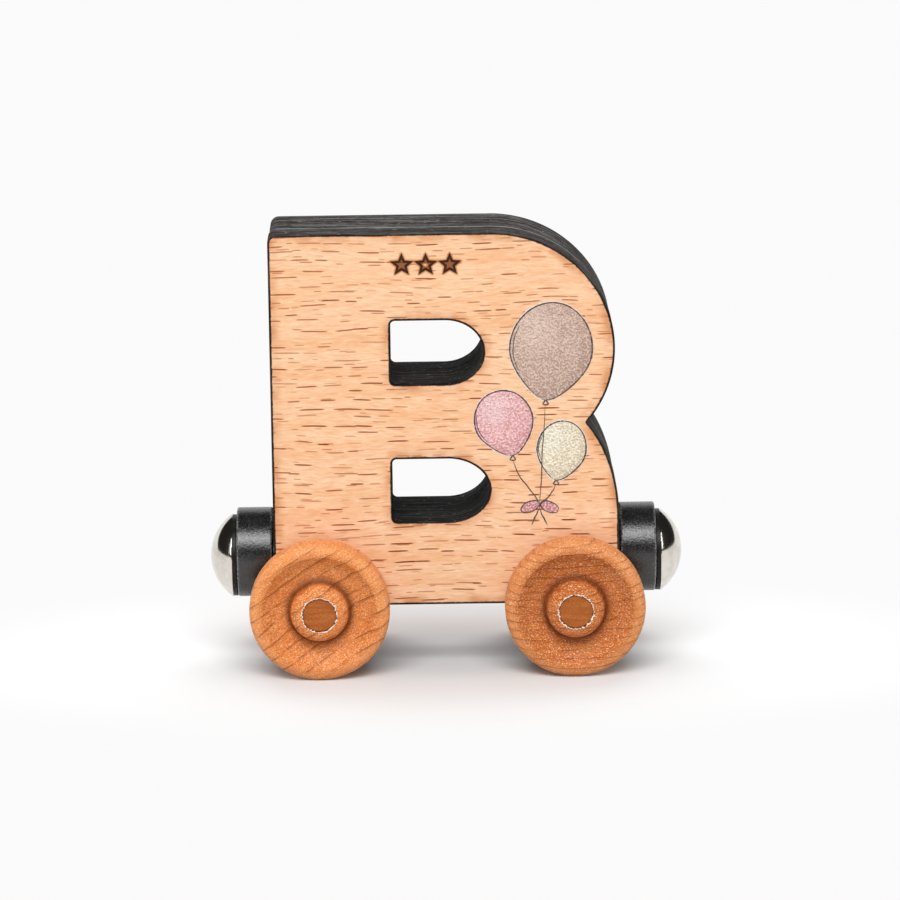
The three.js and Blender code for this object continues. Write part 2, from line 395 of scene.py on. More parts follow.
def lug(x):
    """Underside of an axle lug: a fillet down from the bottom edge, the round lug, and a fillet back."""
    rise = AXLE_RISE + LUG_FILLET
    reach = math.sqrt((LUG_RADIUS + LUG_FILLET) ** 2 - rise ** 2)
    tilt = math.degrees(math.atan2(rise, reach))
    return np.vstack([
        arc(x - reach, -LUG_FILLET, LUG_FILLET, LUG_FILLET, 90, tilt),
        arc(x, AXLE_RISE, LUG_RADIUS, LUG_RADIUS, 180 + tilt, 360 - tilt),
        arc(x + reach, -LUG_FILLET, LUG_FILLET, LUG_FILLET, 180 - tilt, 90),
    ])


def counter(bottom, height, length, swell):
    """Opening of the letter: two small corners at the stem and half an ellipse at the bowl."""
    low = bottom + COUNTER_CORNER
    high = bottom + height - COUNTER_CORNER
    left = STEM_WIDTH + COUNTER_CORNER
    return np.vstack([
        arc(left, low, COUNTER_CORNER, COUNTER_CORNER, 180, 270),
        arc(STEM_WIDTH + length - swell, bottom + height / 2, swell, height / 2, -90, 90),
        arc(left, high, COUNTER_CORNER, COUNTER_CORNER, 90, 180),
    ])


def letter_loops(top_corner):
    """Outline run counterclockwise and openings run clockwise, so that the wood is always on the left:
    the outline, two counters, then two bores."""
    lower_end, upper_start = waist_angles()
    axles = (AXLE_SETBACK, LETTER_WIDTH - AXLE_SETBACK)
    c = OUTER_CORNER
    t = top_corner
    outline = np.vstack([
        arc(c, c, c, c, 180, 270),
        *(lug(x) for x in axles),
        arc(LETTER_WIDTH - c, c, c, c, 270, 360),
        arc(*LOWER_BOWL, 0, lower_end),
        arc(*UPPER_BOWL, upper_start, 90),
        arc(t, LETTER_HEIGHT - t, t, t, 90, 180),
    ])
    cuts = [outline, counter(*LOWER_COUNTER)[::-1], counter(*UPPER_COUNTER)[::-1]]
    bores = [arc(x, AXLE_RISE, LETTER_BORE, LETTER_BORE, 360, 0)[:-1] for x in axles]
    return [refine(loop, OUTLINE_STEP) for loop in cuts] + bores


def star_loops():
    """Each engraved star is a ring between two stars: ten points at the tip and waist radius in turn,
    the inner star scaled so that the stroke keeps its width."""
    angle = np.radians(90 + 36 * np.arange(10))
    radius = np.where(np.arange(10) % 2 == 0, STAR_TIP, STAR_WAIST)
    star = np.column_stack([radius * np.cos(angle), radius * np.sin(angle)])
    span = np.linalg.norm(star[1] - star[0])
    reach = abs(star[0, 0] * star[1, 1] - star[0, 1] * star[1, 0]) / span
    core = star * (1 - STAR_STROKE / reach)
    loops = []
    for centre in STAR_CENTRES:
        loops += [refine(star[::-1] + centre, ARC_STEP), refine(core + centre, ARC_STEP)]
    return loops


def in_wood(loops, points):
    """Inside the outline and outside every opening and bore."""
    wood = inside(loops[0], points)
    for loop in loops[1:]:
        wood &= ~inside(loop, points)
    return wood


def in_marks(marks, points):
    """In an engraved ring: inside an odd number of its loops."""
    return np.sum([inside(loop, points) for loop in marks], axis=0) % 2 == 1


def face_points(loops, marks):
    """Points inside a face: rows set in from each cut by fixed distances, and a slanted grid beyond
    them. A point nearer to a cut than its own row is left out."""
    rows = []
    for inset, every in FACE_RINGS:
        row = np.vstack([(loop - inset * outward(loop))[::every] for loop in loops[:3]])
        rows.append(row[nearest(loops, row) > 0.9 * inset])
    across = np.arange(0, LETTER_WIDTH, FACE_GRID)
    up = np.arange(0, LETTER_HEIGHT, FACE_GRID)
    u, v = np.meshgrid(across, up)
    u = u + 0.5 * FACE_GRID * (np.arange(len(up)) % 2)[:, None]
    grid = np.column_stack([u.ravel(), v.ravel()])
    rows.append(grid[nearest(loops, grid) > FACE_RINGS[-1][0] + 0.5 * FACE_GRID])
    for inset in MARK_RINGS:
        rows += [loop - inset * outward(loop) for loop in marks[::2]]
    points = np.vstack(rows)
    points = points[in_wood(loops, points)]
    if marks:
        points = points[(nearest(marks, points) > MARK_CLEARANCE) & ~in_marks(marks, points)]
    return points


def fill(loops, points, marks):
    """Triangles of a face, from a Delaunay net of all points held to the loops, kept where the middle
    of the triangle is in the wood. Those in an engraved ring come back apart."""
    sizes = [len(loop) for loop in loops + marks]
    starts = np.cumsum([0] + sizes[:-1])
    edges = np.vstack([
        np.column_stack([s + np.arange(n), s + np.roll(np.arange(n), -1)])
        for s, n in zip(starts, sizes)
    ])
    every = np.vstack(loops + marks + [points])
    net = delaunay_2d_cdt([Vector(p) for p in every], edges.tolist(), [], 0, 1e-7)
    back = np.array([origin[0] for origin in net[3]])
    triangles = back[np.array(net[2])]
    a, b, c = (every[triangles[:, k]] for k in range(3))
    turn = (b[:, 0] - a[:, 0]) * (c[:, 1] - a[:, 1]) - (b[:, 1] - a[:, 1]) * (c[:, 0] - a[:, 0])
    triangles[turn < 0] = triangles[turn < 0][:, ::-1]
    middle = every[triangles].mean(1)
    wood = in_wood(loops, middle)
    ring = in_marks(marks, middle)
    return triangles[wood & ~ring], triangles[wood & ring]


def ply_section(front, back):
    """Section of a ply's cut edge from face to face, as inset, depth and normal: a quarter round at each
    arris and even steps between them."""
    turn = np.radians(np.linspace(0, 90, ARRIS_ROWS))
    near = np.column_stack([
        ARRIS * (1 - np.sin(turn)),
        front + ARRIS * (1 - np.cos(turn)),
        np.sin(turn),
        -np.cos(turn),
    ])
    depth = np.linspace(front + ARRIS, back - ARRIS, WALL_ROWS)[1:-1]
    wall = np.column_stack([0 * depth, depth, 0 * depth + 1, 0 * depth])
    far = near[::-1] * (1, -1, 1, -1) + (0, front + back, 0, 0)
    return np.vstack([near, wall, far])


def skin(flat, y, out, normal_y, cut, mark, rubbed):
    """A row for each point of a ply: place, normal, distances from the cut and from an engraved mark, and
    one on the outline's edge, which is greyer than the openings' black edges."""
    columns = (flat[:, 0], y, flat[:, 1], out[:, 0], normal_y, out[:, 1], cut, mark, rubbed)
    return np.column_stack([np.broadcast_to(column, len(flat)) for column in columns])


def make_ply(name, front, step_in, top_corner, wood, soot, dressed=None, marks=()):
    """A ply is its cut edge, each loop carried along the edge's section, with a filled face at both
    ends. The dressed face, front or back, has points all over, and a front may have engraved marks."""
    back = front + PLY
    base = letter_loops(top_corner)
    loops = [loop - step_in * outward(loop) for loop in base[:3]] + base[3:]
    rims = [loop - ARRIS * outward(loop) for loop in loops]
    rim_points = sum(len(loop) for loop in loops)
    section = ply_section(front, back)
    inset, depth, lean, normal_y = section.T
    skins, faces, first_rings, last_rings = [], [], [], []
    count = 0
    for number, loop in enumerate(loops):
        n = len(loop)
        out = outward(loop)
        flat = (loop[None] - inset[:, None, None] * out[None]).reshape(-1, 2)
        tilt = (lean[:, None, None] * out[None]).reshape(-1, 2)
        y, ny, cut = (np.repeat(column, n) for column in (depth, normal_y, inset))
        skins.append(skin(flat, y, tilt, ny, cut, FAR, float(number == 0)))
        faces += (count + grid_faces(len(section), n)[:, ::-1]).tolist()
        first_rings.append(count + np.arange(n))
        count += len(flat)
        last_rings.append(count - n + np.arange(n))
    cut_faces = len(faces)

    for where, side in SIDES:
        y = front if side < 0 else back
        stars = list(marks) if side < 0 else []
        inner = face_points(rims, stars) if dressed == where else np.empty((0, 2))
        net, sunk = fill(rims, inner, stars)
        fresh = np.vstack(stars + [inner])
        top = count
        rings = first_rings if side < 0 else last_rings
        net = np.concatenate([*rings, top + np.arange(len(fresh))])[net]
        faces += (net if side < 0 else net[:, ::-1]).tolist()
        if len(fresh):
            cut = ARRIS + nearest(rims, fresh)
            mark = nearest(stars, fresh) if stars else FAR
            skins.append(skin(fresh, y, 0 * fresh, side, cut, mark, 0.0))
            count += len(fresh)
        if stars:
            flat = np.vstack(stars)
            floor = count
            skins.append(skin(flat, y + ENGRAVE_DEPTH, 0 * flat, side, FAR, SUNK, 0.0))
            count += len(flat)
            faces += (floor + sunk - rim_points).tolist()
            start = 0
            for loop in stars:
                j = start + np.arange(len(loop))
                k = np.roll(j, -1)
                faces += np.column_stack([top + j, floor + j, floor + k, top + k]).tolist()
                start += len(loop)

    table = np.vstack(skins)
    points = to_letter(table[:, :3])
    put_piece("wood_" + name, points, faces, (wood, soot), "letter", "letter_beech", name,
              normals=table[:, 3:6], finish_of=np.arange(len(faces)) < cut_faces,
              cut_distance=table[:, 6], mark_distance=table[:, 7], rubbed=table[:, 8])


# Turned pieces

def soften(profile, reach, step):
    """A profile cut into even steps, each point then the mean of its neighbours within reach, with the
    two ends kept."""
    length = np.concatenate([[0], np.cumsum(np.linalg.norm(np.diff(profile, axis=0), axis=1))])
    at = np.linspace(0, length[-1], math.ceil(length[-1] / step) + 1)
    even = np.column_stack([np.interp(at, length, profile[:, k]) for k in (0, 1)])
    half = max(1, round(reach / (at[1] - at[0])))
    window = np.hanning(2 * half + 3)[1:-1]
    padded = np.pad(even, ((half, half), (0, 0)), mode="edge")
    mean = np.column_stack([np.convolve(padded[:, k], window / window.sum(), "valid") for k in (0, 1)])
    ease = np.clip(np.minimum(at, length[-1] - at) / (reach + 1e-9), 0, 1)[:, None]
    return even + ease * (mean - even)


def spin(profile, centre, axis, columns, closed=False):
    """Surface of revolution: each profile point, a radius and a height, goes round the axis. Its place is
    the centre plus radius times cosine and sine of the turn, plus height along the axis."""
    along = np.array(axis, float)
    one = np.array((0.0, 0.0, 1.0))
    two = np.cross(along, one)
    turn = 2 * np.pi * np.arange(columns) / columns
    spoke = np.cos(turn)[:, None] * one + np.sin(turn)[:, None] * two
    radius, height = profile.T[:, :, None, None]
    points = np.array(centre) + radius * spoke + height * along
    return points.reshape(-1, 3), grid_faces(len(profile), columns, close_rows=closed).tolist()


def wheel_profile():
    """Turned wheel from the bore round to the bore: flat back, round tread, rim, hollow that falls on a
    quadratic curve to the groove, and round-topped hub."""
    flat = WHEEL_RADIUS - TREAD_ROUND
    low = RIM_WIDTH - DISH_DEPTH
    t = np.linspace(0, 1, DISH_ROWS)[:, None]
    start = np.array((flat - RIM_FLAT, RIM_WIDTH))
    bend = np.array(((flat + GROOVE_RADIUS) / 2, low))
    end = np.array((GROOVE_RADIUS, low))
    hollow = (1 - t) ** 2 * start + 2 * t * (1 - t) * bend + t ** 2 * end
    return np.vstack([
        (WHEEL_BORE, 0),
        arc(flat, TREAD_ROUND, TREAD_ROUND, TREAD_ROUND, -90, 0),
        arc(flat, RIM_WIDTH - TREAD_ROUND, TREAD_ROUND, TREAD_ROUND, 0, 90),
        hollow,
        (HUB_RADIUS, low + GROOVE_RADIUS - HUB_RADIUS),
        arc(HUB_RADIUS - HUB_ROUND, HUB_HEIGHT - HUB_ROUND, HUB_ROUND, HUB_ROUND, 0, 90),
        (WHEEL_BORE, HUB_HEIGHT),
    ])


def make_wheel(name, end, side, face, material):
    """A wheel facing the reader or away. The groove layer is a bell curve of the distance from the groove
    round the hub, where oil has gathered and painted shade darkens the hollow, and the rim layer rises
    towards the tread, which takes a paler painted highlight."""
    profile = soften(wheel_profile(), WHEEL_SOFTENING, WHEEL_STEP)
    centre = (side * AXLE_X, face * WHEEL_BACK, AXLE_Z)
    points, faces = spin(profile, centre, (0, face, 0), WHEEL_COLUMNS, closed=True)
    # Groove layer: oil with painted shade, strongest just inside the groove
    off = np.hypot(profile[:, 0] - GROOVE_RADIUS + OIL_AND_SHADE_INSET, profile[:, 1] - RIM_WIDTH + DISH_DEPTH)
    groove = np.exp(-(off / OIL_AND_SHADE_REACH) ** 2)
    # Rim layer: a painted highlight that rises towards the tread
    rim = np.clip((profile[:, 0] - RIM_HIGHLIGHT_START) / RIM_HIGHLIGHT_FADE, 0, 1)
    put_piece("turned_" + name, points, faces, (material,), end + "_wheelset", "wheel_wood", name,
              sharp=50, groove=np.repeat(groove, WHEEL_COLUMNS), rim=np.repeat(rim, WHEEL_COLUMNS))


def make_axle(end, side, material):
    """Dowel with flat ends and a broken edge round each, turned about the axle's line."""
    half = AXLE_HALF
    e = AXLE_EDGE
    end_radius = np.linspace(0, AXLE_RADIUS - e - AXLE_END_MARGIN, AXLE_END_ROWS)
    side_height = np.linspace(2 * e - half, half - 2 * e, AXLE_SIDE_ROWS)
    nose = np.vstack([
        np.column_stack([end_radius, np.full(AXLE_END_ROWS, -half)]),
        arc(AXLE_RADIUS - e, e - half, e, e, -90, 0),
    ])
    middle = np.column_stack([np.full(AXLE_SIDE_ROWS, AXLE_RADIUS), side_height])
    profile = np.vstack([nose, middle, nose[::-1] * (1, -1)])
    points, faces = spin(profile, (side * AXLE_X, 0, AXLE_Z), (0, 1, 0), AXLE_COLUMNS)
    name = end + "_axle"
    put_piece("dowel_" + name, points, faces, (material,), end + "_wheelset", "dowel_wood", name,
              sharp=50, weld=True)


def ragged(angle, seed, waves, reach):
    """Uneven run round a circle: a sum of sines of whole turns with seeded heights and phases, scaled to
    reach."""
    rng = np.random.default_rng(seed)
    turns = np.arange(2, 2 + waves)[:, None]
    wave = np.sin(turns * angle + rng.uniform(0, 2 * np.pi, (waves, 1)))
    total = (rng.uniform(0.3, 1.0, (waves, 1)) * wave).sum(0)
    return reach * total / np.abs(total).max()


def make_glue(end, side, where, face, material):
    """Ring of pale glue and torn fibre round a dowel's end: a small round section carried round the bore,
    its radius, height and thickness uneven."""
    seed = 10 + 5 * side + 2 * face
    angle = 2 * np.pi * np.arange(GLUE_COLUMNS) / GLUE_COLUMNS
    ring = GLUE_RADIUS + ragged(angle, seed, *GLUE_WANDER)
    thick = np.maximum(GLUE_THINNEST, GLUE_THICKNESS + ragged(angle, seed + 1, *GLUE_LUMPS))
    lift = HUB_HEIGHT - GLUE_SINK + ragged(angle, seed + 2, *GLUE_LIFT)
    turn = 2 * np.pi * np.arange(GLUE_ROWS)[:, None] / GLUE_ROWS
    radius = ring + thick * np.cos(turn)
    height = lift + GLUE_FLATNESS * thick * np.sin(turn)
    x = side * AXLE_X + radius * np.sin(angle) * face
    y = face * (WHEEL_BACK + height)
    z = AXLE_Z + radius * np.cos(angle)
    faces = grid_faces(GLUE_ROWS, GLUE_COLUMNS, close_rows=True)
    put_piece(f"glue_{end}_{where}", np.stack([x, y, z], -1).reshape(-1, 3), faces.tolist(), (material,),
              end + "_wheelset", "wheel_wood")


# Couplers

def make_magnet(end, side, material):
    """Ring magnet, drawn up to its cap: bore, flat ends and round wall, with the outer edges broken by a
    small round. The worn layer is a bell curve of the distance from those edges, where the colour is paler
    from wear and from a painted highlight on the broken edges."""
    top = -MAGNET_REST
    low = -MAGNET_PLAY - MAGNET_LENGTH
    e = MAGNET_EDGE
    profile = np.vstack([
        (MAGNET_BORE, low),
        arc(MAGNET_RADIUS - e, low + e, e, e, -90, 0, MAGNET_EDGE_STEP),
        arc(MAGNET_RADIUS - e, top - e, e, e, 0, 90, MAGNET_EDGE_STEP),
        (MAGNET_BORE, top),
    ])
    profile = soften(profile, MAGNET_SOFTENING, MAGNET_STEP)
    centre = (side * CAP_BACK, 0, COUPLER_Z)
    points, faces = spin(profile, centre, (side, 0, 0), MAGNET_COLUMNS, closed=True)
    near = np.minimum(abs(profile[:, 1] - top + 0.3 * e), abs(profile[:, 1] - low - 0.3 * e))
    near = np.hypot(near, np.minimum(0, profile[:, 0] - MAGNET_RADIUS + 0.5 * e))
    worn = np.repeat(np.exp(-(near / WEAR_AND_HIGHLIGHT_REACH) ** 2), MAGNET_COLUMNS)
    name = end + "_magnet"
    put_piece("ring_" + name, points, faces, (material,), end + "_ring", "ferrite", name,
              sharp=45, worn=worn)


def make_cap(end, side, plate, band_shade):
    """Stamped cap: inside dome down to the backing disc, lip under the rim, a straight band with a broken
    edge, painted near-black as the shade of the gap under the rim, a small turned-in rim, and the outside
    dome, which is part of a sphere through the rim and the crown. The outside sits a little below the
    nail's line."""
    e = CAP_EDGE
    foot = CAP_BAND + e
    rise = CAP_HEIGHT - foot
    radius = (CAP_RADIUS ** 2 + rise ** 2) / (2 * rise)
    low = CAP_HEIGHT - radius
    inside_low = CAP_CROWN - CAP_INSIDE
    inside_edge = math.degrees(math.asin((CAP_WALL - inside_low) / CAP_INSIDE))
    outside_edge = math.degrees(math.asin((foot - low) / radius))
    hollow = arc(0, inside_low, CAP_INSIDE, CAP_INSIDE, 90, inside_edge)
    hollow[:, 0] = np.minimum(hollow[:, 0], CAP_SIDE)
    band = np.vstack([
        (CAP_LIP, CAP_WALL),
        (CAP_LIP, 0),
        arc(CAP_BAND_RADIUS - e, e, e, e, -90, 0, CAP_EDGE_STEP),
        (CAP_BAND_RADIUS, CAP_BAND - CAP_BAND_GAP),
    ])
    dome = np.vstack([
        arc(CAP_RADIUS - e, foot, e, e, -90, 0, CAP_EDGE_STEP)[:-1],
        arc(0, low, radius, radius, outside_edge, 90, CAP_DOME_STEP),
    ])
    profile = np.vstack([hollow, band, dome])
    profile[:, 0] = np.maximum(profile[:, 0], 0)
    points, faces = spin(profile, (side * CAP_BACK, 0, COUPLER_Z), (side, 0, 0), CAP_COLUMNS)
    row = np.arange(len(profile))
    points[:, 2] -= CAP_DROP * np.repeat(row > len(hollow) + 1, CAP_COLUMNS)
    # Rows of the band, which take the near-black painted shade of the gap under the rim
    shaded_rows = (row >= len(hollow) - 1) & (row < len(hollow) + len(band))
    name = end + "_cap"
    put_piece("dome_" + name, points, faces, (plate, band_shade), "letter", "nickel", name, sharp=50, weld=True,
              finish_of=np.repeat(shaded_rows[:-1], CAP_COLUMNS))


# Print

def leaning(x, y, centre, lean):
    """A flat shape turned by lean degrees about its centre."""
    a = math.radians(lean)
    return np.column_stack([
        centre[0] + x * math.cos(a) - y * math.sin(a),
        centre[1] + x * math.sin(a) + y * math.cos(a),
    ])


def balloon_edge(angle, centre, half, lean):
    """Edge of a balloon: an ellipse whose lower half draws in towards the neck by the square of its
    depth, turned by lean degrees about its centre."""
    low = np.maximum(0, -np.sin(angle))
    x = half[0] * np.cos(angle) * (1 - NECK_DRAW * low ** 2)
    y = half[1] * np.sin(angle) * (1 + NECK_STRETCH * low ** 3)
    return leaning(x, y, centre, lean)


def bow_edge(angle, centre, half, lean):
    """Edge of a bow's loop: an ellipse turned by lean degrees about its centre."""
    return leaning(half[0] * np.cos(angle), half[1] * np.sin(angle), centre, lean)


def film(edge, centre, lift):
    """Closed film of ink: a polar grid whose rows are shares of the way from the centre to the edge. The
    top lies lift above the wood, and the rim turns down to a floor just inside it."""
    share = np.array((0.0, 0.3, 0.6, 0.85, 0.97, 1.0, 1.0, 0.5, 0.0))
    height = np.array([lift] * 5 + [0.6 * lift] + [-INK_ROOT] * 3)
    flat = np.array(centre) + share[:, None, None] * (edge - np.array(centre))[None]
    y = np.broadcast_to(FRONT_Y - height[:, None], flat.shape[:2])
    points = np.stack([flat[..., 0], y, flat[..., 1]], -1).reshape(-1, 3)
    return points, grid_faces(len(share), len(edge))[:, ::-1]


def stroke(path, width, seed, lift=PEN_LIFT):
    """Pen stroke: a low flat-topped ridge carried along a path. Its width and height follow the root of a
    half sine, so that both ends run out to nothing, and the width is uneven like a crayon's."""
    s = np.linspace(0, 1, len(path))
    ease = np.sqrt(np.sin(np.pi * s))
    ease[[0, -1]] = 0
    wide = (width * ease * (1 + ragged(2 * np.pi * s, seed, *PEN_RAGGED)))[:, None]
    across = right_of(np.gradient(path, axis=0))
    ridge = ((-1.0, -INK_ROOT), (-0.7, lift), (0.7, lift), (1.0, -INK_ROOT))
    flat = np.stack([path + share * wide * across for share, _ in ridge])
    y = np.stack([FRONT_Y - rise * np.minimum(1, 3 * ease) for _, rise in ridge])
    points = np.stack([flat[..., 0], y, flat[..., 1]], -1).reshape(-1, 3)
    return points, grid_faces(len(ridge), len(path), close_rows=True, close_columns=False)[:, ::-1]


def wiggle(path, seed, reach):
    """A path moved sideways by a smooth seeded wave along it: sines that shrink as they quicken."""
    rng = np.random.default_rng(seed)
    s = np.linspace(0, 1, len(path))
    wave = np.zeros(len(path))
    for k in PEN_WAVES:
        height = rng.uniform(-1, 1)
        phase = rng.uniform(0, 6.28)
        wave += height * np.sin(2 * np.pi * k * s + phase) / k
    return path + (reach * wave)[:, None] * right_of(np.gradient(path, axis=0))


def free_stroke(path, pen, seed, lift=PEN_LIFT):
    """Pen stroke along a shaken path. The pen is a half width and a shake."""
    return stroke(wiggle(path, seed, pen[1]), pen[0], seed, lift)


def string_path(start, end, sag):
    """String from a neck to the tie: a cubic curve that leaves straight down and ends from above."""
    t = np.linspace(0, 1, STRING_POINTS)[:, None]
    a, d = np.array(start), np.array(end)
    b = a + (sag, -0.45 * (a[1] - d[1]))
    c = d + (-0.6 * sag, 0.4 * (a[1] - d[1]))
    return (1 - t) ** 3 * a + 3 * t * (1 - t) ** 2 * b + 3 * t ** 2 * (1 - t) * c + t ** 3 * d


def balloon_lines(centre, half, lean, seed):
    """Lines of one balloon: it is gone round by two overlapping strokes and gets a fold mark, a small knot
    of three strokes, and a string from the knot to the tie."""
    parts = []
    for start, stop, grow, width in PEN_ROUNDS:
        angle = np.radians(np.linspace(start, stop, ROUND_POINTS))
        edge = balloon_edge(angle, centre, (half[0] * grow, half[1] * grow), lean)
        parts.append(free_stroke(edge, (width, ROUND_SHAKE), seed))
        seed += 1
    neck = balloon_edge(np.array([-np.pi / 2]), centre, half, lean)[0]
    t = np.linspace(0, 1, KNOT_POINTS)[:, None]
    for dx in (-KNOT_HALF, KNOT_HALF):
        parts.append(stroke(neck + t * np.array((dx, -KNOT_DROP)), KNOT_PEN, seed))
    foot = np.linspace(-KNOT_FOOT_HALF, KNOT_FOOT_HALF, KNOT_POINTS)
    knot_foot = neck + np.column_stack([foot, -KNOT_DROP - 0.1 * np.cos(3 * foot)])
    parts.append(stroke(knot_foot, KNOT_FOOT_PEN, seed))
    sag = LEFT_SAG if centre[0] < TIE[0] else RIGHT_SAG
    string = string_path(neck + (0, -STRING_DROP), TIE, sag)
    parts.append(free_stroke(string, STRING_PEN, seed, STRING_LIFT))
    return parts


def pen_lines():
    """Sketched lines of the print: those of each balloon, and a bow with two tails where the strings
    meet. Every line that is drawn freely has the next seed."""
    parts = []
    seed = PEN_SEED
    for _, centre, half, lean in BALLOONS:
        parts += balloon_lines(centre, half, lean, seed)
        seed += len(PEN_ROUNDS) + 1
    for loop in BOW:
        edge = bow_edge(np.linspace(0, 2 * np.pi, BOW_POINTS), *loop)
        parts.append(free_stroke(edge, BOW_PEN, seed))
        seed += 1
    for dx, dy in BOW_TAILS:
        tail = string_path(TIE, (TIE[0] + dx, TIE[1] + dy), 0.5 * dx)
        parts.append(free_stroke(tail, TAIL_PEN, seed))
        seed += 1
    return parts


def put_print(name, parts, ink):
    """Several surfaces as one piece of the print: points stacked, and each surface's faces moved on by the
    points before it."""
    shift = np.cumsum([0] + [len(points) for points, _ in parts[:-1]])
    points = np.vstack([points for points, _ in parts])
    faces = np.vstack([faces + s for (_, faces), s in zip(parts, shift)])
    put_piece("print_" + name, to_letter(points), faces.tolist(), (ink,), "letter", "letter_beech",
              weld=True, sharp=60)


def make_print(inks, underbase, pen):
    """Film of ink for each balloon and the bow over a ragged pale underbase, with the pen lines on top."""
    angle = 2 * np.pi * np.arange(FILM_COLUMNS) / FILM_COLUMNS
    under = []
    for k, (colour, centre, half, lean) in enumerate(BALLOONS):
        edge = balloon_edge(angle, centre, half, lean)
        put_print("balloon_" + colour, [film(edge, centre, INK_LIFT)], inks[colour])
        spread = UNDERBASE_SPREAD + ragged(angle, UNDERBASE_SEED + k, *UNDERBASE_RAGGED)
        rim = 1 + spread / np.hypot(*half)
        wide = np.array(centre) + rim[:, None] * (edge - np.array(centre))
        under.append(film(wide, centre, 0.5 * INK_LIFT))
    put_print("bow", [film(bow_edge(angle, *loop), loop[0], INK_LIFT) for loop in BOW], inks["pink"])
    put_print("underbase", under, underbase)
    put_print("pen_lines", pen_lines(), pen)


# Material nodes

class Nodes:
    """Builds a node tree. Its methods add nodes and give an output, and they take numbers, colours and
    other nodes' outputs alike."""

    def __init__(self, owner):
        owner.use_nodes = True
        self.tree = owner.node_tree

    def feed(self, socket, value):
        """Links an output to a socket, or sets the socket."""
        if isinstance(value, bpy.types.NodeSocket):
            self.tree.links.new(value, socket)
        else:
            socket.default_value = value

    def node(self, kind, inputs=None, out=0, **settings):
        """Adds a node, sets it, and gives one of its outputs, or all of them where out is None."""
        made = self.tree.nodes.new("ShaderNode" + kind)
        for key, value in settings.items():
            setattr(made, key, value)
        for key, value in (inputs or {}).items():
            self.feed(made.inputs[key], value)
        return made.outputs if out is None else made.outputs[out]

    def sums(self, operation, *values):
        """One operation on up to three numbers."""
        return self.node("Math", dict(enumerate(values)), operation=operation)

    def times(self, a, b):
        """Product of two numbers."""
        return self.sums("MULTIPLY", a, b)

    def scaled(self, value, factor, offset):
        """A number times a factor, plus an offset."""
        return self.sums("MULTIPLY_ADD", value, factor, offset)

    def blend(self, share, a, b):
        """Mix of two colours, the first where share is 0 and the second where it is 1."""
        a, b = (c if isinstance(c, bpy.types.NodeSocket) else (*c, 1.0) for c in (a, b))
        return self.node("Mix", {0: share, 6: a, 7: b}, out=2, data_type="RGBA")

    def fade(self, value, start, stop, low=0.0, high=1.0):
        """Smooth step from low at start to high at stop."""
        ends = {0: value, 1: start, 2: stop, 3: low, 4: high}
        return self.node("MapRange", ends, interpolation_type="SMOOTHSTEP")

    def split(self, vector):
        """The three parts of a vector."""
        return self.node("SeparateXYZ", {0: vector}, out=None)

    def span(self, x, y):
        """Length of a flat vector."""
        flat = self.node("CombineXYZ", {0: x, 1: y})
        return self.node("VectorMath", {0: flat}, out=1, operation="LENGTH")

    def layer(self, name):
        """A number kept for each point of the mesh."""
        return self.node("Attribute", out=2, attribute_name=name)

    def noise(self, vector, scale, detail=2.0, rough=0.5):
        """Soft noise, with about as many lumps to the millimetre as scale says."""
        inputs = {"Vector": vector, "Scale": scale, "Detail": detail, "Roughness": rough}
        return self.node("TexNoise", inputs)

    def long_noise(self, vector, sizes, detail=2.0, rough=0.5, shift=(0.0, 0.0, 0.0)):
        """Soft noise whose lumps have a size along each axis: the coordinates are divided by the sizes."""
        scale = tuple(1.0 / size for size in sizes)
        placed = self.node("Mapping", {"Vector": vector, "Location": shift, "Scale": scale})
        return self.noise(placed, 1.0, detail, rough)

    def seen_rays(self):
        """Rays from the camera, and then those together with reflected and transmitted rays, which show
        the white studio."""
        rays = self.node("LightPath", out=None)
        shiny = self.sums("MAXIMUM", rays["Is Glossy Ray"], rays["Is Transmission Ray"])
        return rays["Is Camera Ray"], self.sums("MAXIMUM", rays["Is Camera Ray"], shiny)


class Finish(Nodes):
    """A material with the place on the piece in millimetres and a colour that is laid on in coats."""

    def __init__(self, name):
        self.material = bpy.data.materials.new(name)
        super().__init__(self.material)
        self.shader = self.tree.nodes["Principled BSDF"]
        coords = self.node("TexCoord", out=3)
        self.mm = self.node("VectorMath", {0: coords, 3: 1 / MM}, operation="SCALE")
        self.colour = None

    def coat(self, share, shade):
        """Lays a shade over the colour so far, as strongly as share says."""
        self.colour = self.blend(share, self.colour, shade)

    def done(self, roughness, relief=None, depth=0.0, specular=0.5, metallic=0.0):
        """Puts colour, roughness and shine together with the relief of a height pattern, depth millimetres
        deep, and gives the material."""
        self.feed(self.shader.inputs["Base Color"], self.colour)
        self.feed(self.shader.inputs["Roughness"], roughness)
        self.feed(self.shader.inputs["Specular IOR Level"], specular)
        self.feed(self.shader.inputs["Metallic"], metallic)
        if relief is not None:
            normal = self.node("Bump", {"Strength": 1.0, "Distance": depth * MM, "Height": relief})
            self.feed(self.shader.inputs["Normal"], normal)
        return self.material


